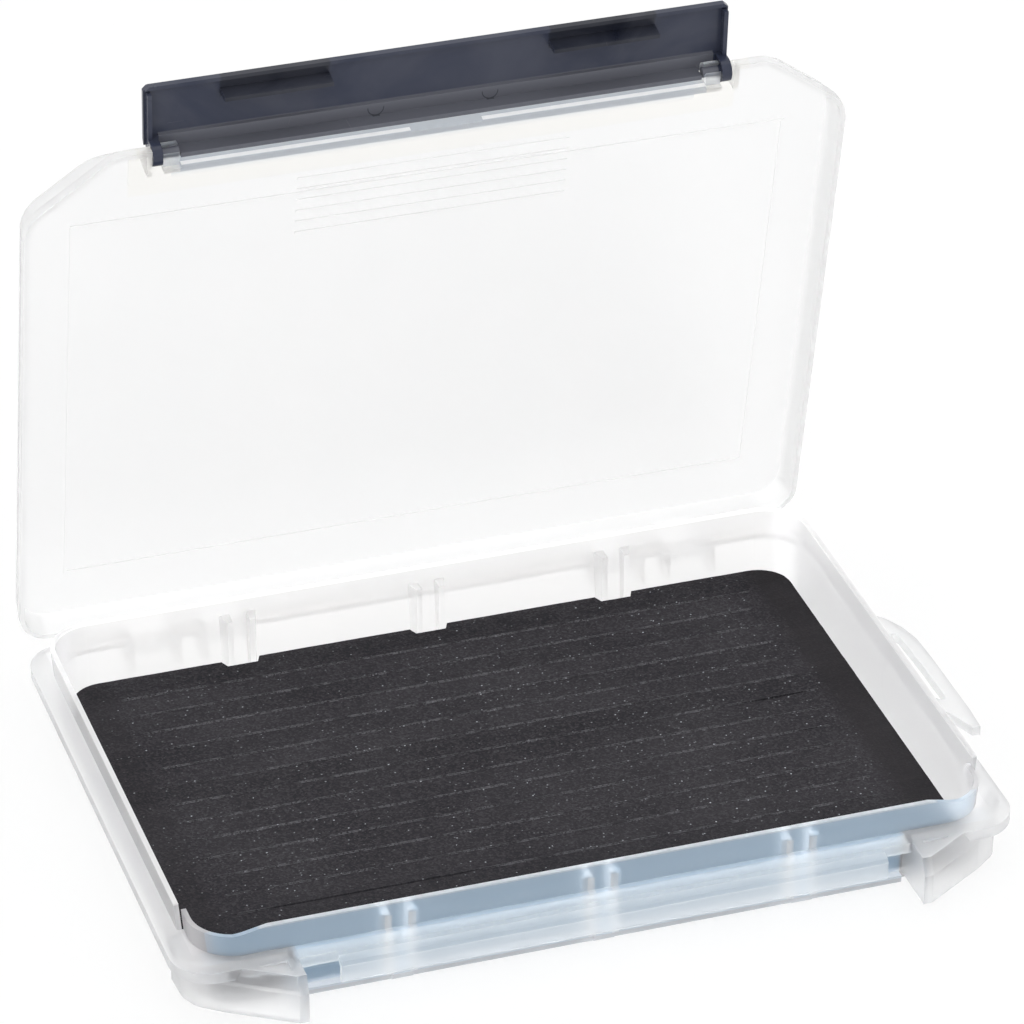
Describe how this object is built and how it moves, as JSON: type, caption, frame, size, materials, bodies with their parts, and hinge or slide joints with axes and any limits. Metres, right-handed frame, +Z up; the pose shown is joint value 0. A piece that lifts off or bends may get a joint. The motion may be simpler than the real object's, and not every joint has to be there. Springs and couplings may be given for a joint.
{
  "type": "slim lure case",
  "caption": "Slim translucent tackle case standing open: flanged tray with slit foam mat, shallow hinged lid and a full-width pivoting latch bar.",
  "frame": {"origin": "centre of the underside of the tray, measured on the tray's box body; the strap loop, latch and lid stand outside it", "axes": "+Z up, front of the case with the catch rail towards -Y, hinge line along X at the back, strap loop on +X"},
  "size_m": [0.263, 0.2092, 0.2159],
  "materials": {
    "tray_plastic": "translucent milky, semi-gloss",
    "lid_plastic": "translucent milky, semi-gloss",
    "latch_plastic": "dark blue-grey, satin",
    "foam": "matte closed-cell foam with small light specks"
  },
  "bodies": {
    "case": {"base_tray": "tray_plastic", "foam_mat": "foam"},
    "lid": {"lid": "lid_plastic"},
    "latch": {"latch_bar": "latch_plastic"}
  },
  "joints": [
    {"name": "lid_hinge", "type": "hinge", "parent": "case", "child": "lid", "pos_m": [0, 0.0915, 0.0115], "axis": [-1, 0, 0], "range_deg": [-77.9, 32]},
    {"name": "latch_pivot", "type": "hinge", "parent": "lid", "child": "latch", "pos_m": [0, 0.06267, 0.19514], "axis": [-1, 0, 0], "range_deg": [-97.6, 6]}
  ]
}
